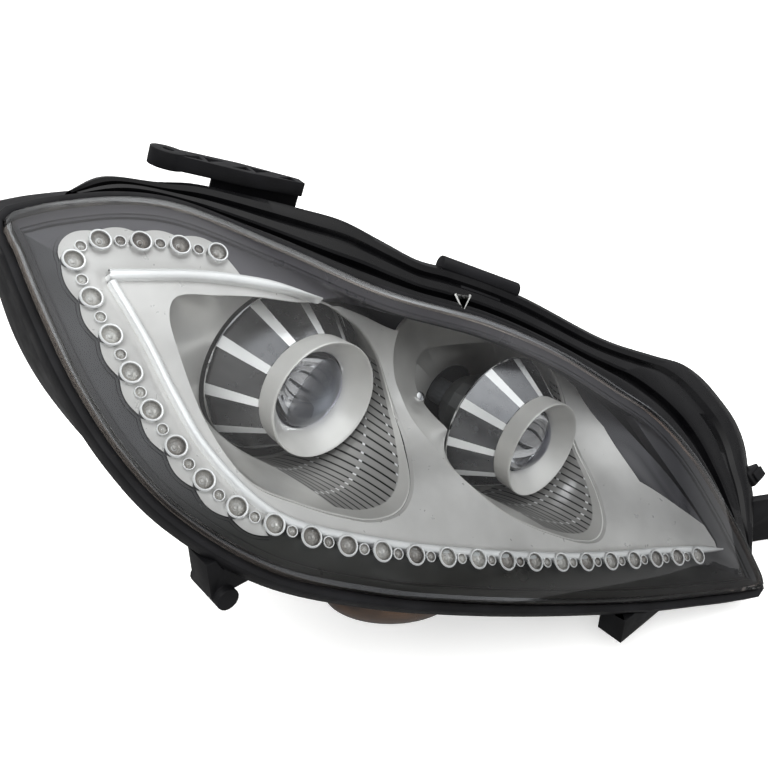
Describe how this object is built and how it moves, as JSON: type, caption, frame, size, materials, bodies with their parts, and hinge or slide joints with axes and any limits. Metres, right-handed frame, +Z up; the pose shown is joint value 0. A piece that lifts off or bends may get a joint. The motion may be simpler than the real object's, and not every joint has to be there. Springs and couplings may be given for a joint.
{
  "type": "car headlight assembly",
  "caption": "swept-back car headlamp for the right side: clear raked lens, low and high beam projectors in satin bowls, LED edge line, black housing with rear caps and brackets",
  "frame": {"origin": "on the bolting face of the upper arm, 9 mm inboard of its bolt hole's axis", "axes": "+X inboard (towards the grille), -Y forward along the beams, +Z up"},
  "size_m": [0.6457, 0.454, 0.4279],
  "materials": {
    "black_plastic": "fine grained black polypropylene",
    "gloss_black": "polished black",
    "clear_lens": "hard-coated clear polycarbonate",
    "optic_glass": "polished clear glass",
    "rubber": "matt black",
    "smoked_plastic": "smoked dark grey, metallised under tint",
    "satin_plastic": "satin silver paint",
    "chrome": "bright vacuum-metallised",
    "satin_metal": "satin",
    "board": "coated circuit board",
    "steel": "zinc plated",
    "aluminium": "die cast",
    "grey_plastic": "glass-filled nylon",
    "white_nylon": "natural nylon",
    "brown_gloss": "glossy dark brown"
  },
  "bodies": {
    "housing": {"housing_shell": "black_plastic", "upper_shroud": "gloss_black", "lens_cover": "clear_lens", "lens_seal": "rubber", "outer_bezel": "smoked_plastic", "led_lens_strip": "clear_lens", "led_board": "board", "chrome_strip": "chrome", "inner_bezel": "satin_plastic", "smoked_panel": "smoked_plastic", "v_clip": "steel", "bezel_screw": "steel", "corner_boss": "clear_lens", "outboard_clip": "grey_plastic", "inboard_clip": "grey_plastic", "low_beam_bowl": "satin_plastic", "low_slotted_panel": "satin_plastic", "high_beam_bowl": "satin_plastic", "high_slotted_panel": "satin_plastic", "low_pivot_post_outboard": "black_plastic", "low_pivot_post_inboard": "black_plastic", "high_pivot_post_outboard": "black_plastic", "high_pivot_post_inboard": "black_plastic", "low_beam_cap_seal": "rubber", "high_beam_cap_seal": "rubber", "level_motor": "grey_plastic", "vent_cap": "rubber", "connector_socket": "grey_plastic", "top_arm": "black_plastic", "upper_retainer": "black_plastic", "foot_bracket": "black_plastic", "lower_tab": "black_plastic", "side_bracket": "black_plastic", "ballast_cover": "brown_gloss", "ballast": "aluminium"},
    "tilt_carrier": {"tilt_frame": "black_plastic", "swivel_motor": "grey_plastic"},
    "low_projector": {"low_beam_ring": "satin_metal", "low_beam_lens": "optic_glass", "low_beam_drum": "chrome", "low_beam_holder": "aluminium", "low_beam_reflector": "aluminium", "low_beam_bulb": "optic_glass", "low_beam_igniter": "grey_plastic", "shutter_solenoid": "steel", "swivel_yoke": "aluminium"},
    "shutter": {"shutter_plate": "steel"},
    "high_projector": {"high_beam_ring": "satin_metal", "high_beam_lens": "optic_glass", "high_beam_drum": "chrome", "high_beam_holder": "aluminium", "high_beam_reflector": "aluminium", "high_beam_bulb": "optic_glass", "high_beam_yoke": "aluminium", "high_beam_socket": "grey_plastic"},
    "low_cap": {"low_beam_rear_cap": "black_plastic"},
    "high_cap": {"high_beam_rear_cap": "black_plastic"},
    "plunger": {"level_plunger": "white_nylon"},
    "vertical_screw": {"vertical_adjuster": "white_nylon"},
    "horizontal_screw": {"horizontal_adjuster": "white_nylon"}
  },
  "joints": [
    {"name": "low_beam_tilt", "type": "hinge", "parent": "housing", "child": "tilt_carrier", "pos_m": [0.032, -0.064, -0.176], "axis": [1, 0, 0], "range_deg": [-1.5, 1.5]},
    {"name": "low_beam_swivel", "type": "hinge", "parent": "tilt_carrier", "child": "low_projector", "pos_m": [0.032, -0.064, -0.176], "axis": [0, 0, 1], "range_deg": [-12, 4]},
    {"name": "shutter_flip", "type": "hinge", "parent": "low_projector", "child": "shutter", "pos_m": [0.032, -0.061, -0.202], "axis": [1, 0, 0], "range_deg": [0, 25], "stiffness_Nm_per_rad": 0.05, "springref_deg": -11.46},
    {"name": "high_beam_tilt", "type": "hinge", "parent": "housing", "child": "high_projector", "pos_m": [0.2014, -0.1575, -0.2536], "axis": [1, 0, 0], "range_deg": [-1.5, 1.5]},
    {"name": "level_plunger_slide", "type": "slide", "parent": "housing", "child": "plunger", "axis": [0, 1, 0], "range_m": [-0.003, 0.003]},
    {"name": "low_beam_cap_turn", "type": "hinge", "parent": "housing", "child": "low_cap", "pos_m": [0.032, 0.036, -0.176], "axis": [0, 1, 0], "range_deg": [0, 30]},
    {"name": "high_beam_cap_turn", "type": "hinge", "parent": "housing", "child": "high_cap", "pos_m": [0.2014, -0.054, -0.2536], "axis": [0, 1, 0], "range_deg": [0, 30]},
    {"name": "vertical_adjuster_turn", "type": "hinge", "parent": "housing", "child": "vertical_screw", "pos_m": [-0.02, 0.036, -0.124], "axis": [0, 1, 0], "continuous": true},
    {"name": "horizontal_adjuster_turn", "type": "hinge", "parent": "housing", "child": "horizontal_screw", "pos_m": [0.09, 0.036, -0.206], "axis": [0, 1, 0], "continuous": true}
  ],
  "couplings": [
    {"joint": "high_beam_tilt", "follows": "low_beam_tilt", "ratio": 1},
    {"joint": "level_plunger_slide", "follows": "low_beam_tilt", "m_per_rad": 0.062}
  ]
}
